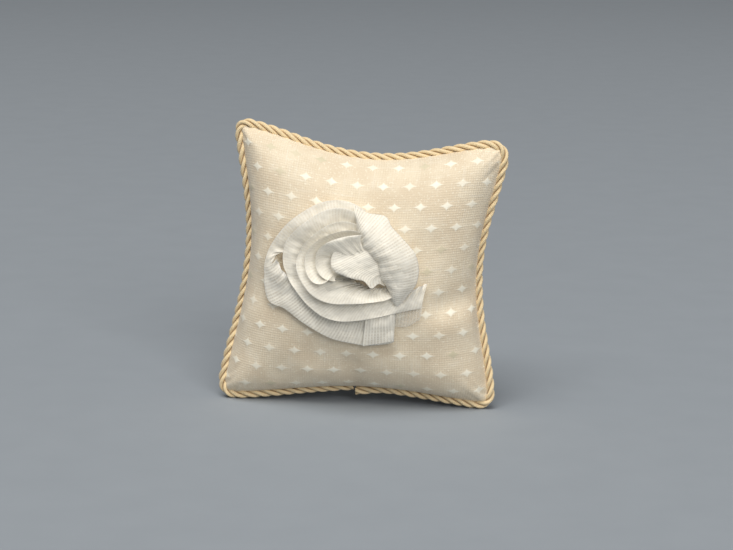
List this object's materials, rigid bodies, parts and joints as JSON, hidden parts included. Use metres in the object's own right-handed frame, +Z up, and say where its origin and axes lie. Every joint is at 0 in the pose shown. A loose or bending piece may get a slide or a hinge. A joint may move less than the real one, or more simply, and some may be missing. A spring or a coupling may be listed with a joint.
{
  "type": "ring bearer pillow",
  "caption": "Miniature stuffed ring bearer pillow with a twisted cord edge and a sheer ribbon rosette on its front, standing upright.",
  "frame": {"origin": "on the table, under the middle of the bounding box of the standing pillow", "axes": "+Z up, the pillow's mid-plane upright along X and Z, the front with the rosette facing -Y"},
  "size_m": [0.0352, 0.016, 0.0348],
  "materials": {
    "brocade": "satin",
    "trim": "satin",
    "sheer_ribbon": "satin",
    "thread": "matte",
    "stuffing": "matte"
  },
  "bodies": {
    "root": {"front_panel": "brocade", "back_panel": "brocade", "fiberfill": "stuffing", "seam_stitches": "thread", "closing_stitches": "thread", "trim_cord": "trim", "trim_stitches": "thread", "rosette_bud": "sheer_ribbon", "inner_petal_left": "sheer_ribbon", "inner_petal_right": "sheer_ribbon", "inner_petal_lower": "sheer_ribbon", "middle_petal_upper": "sheer_ribbon", "middle_petal_lower": "sheer_ribbon", "outer_petal_right": "sheer_ribbon", "outer_petal_left": "sheer_ribbon", "outer_petal_bottom": "sheer_ribbon", "ribbon_tail": "sheer_ribbon", "gather_thread": "thread", "tack_stitches": "thread"}
  },
  "joints": []
}
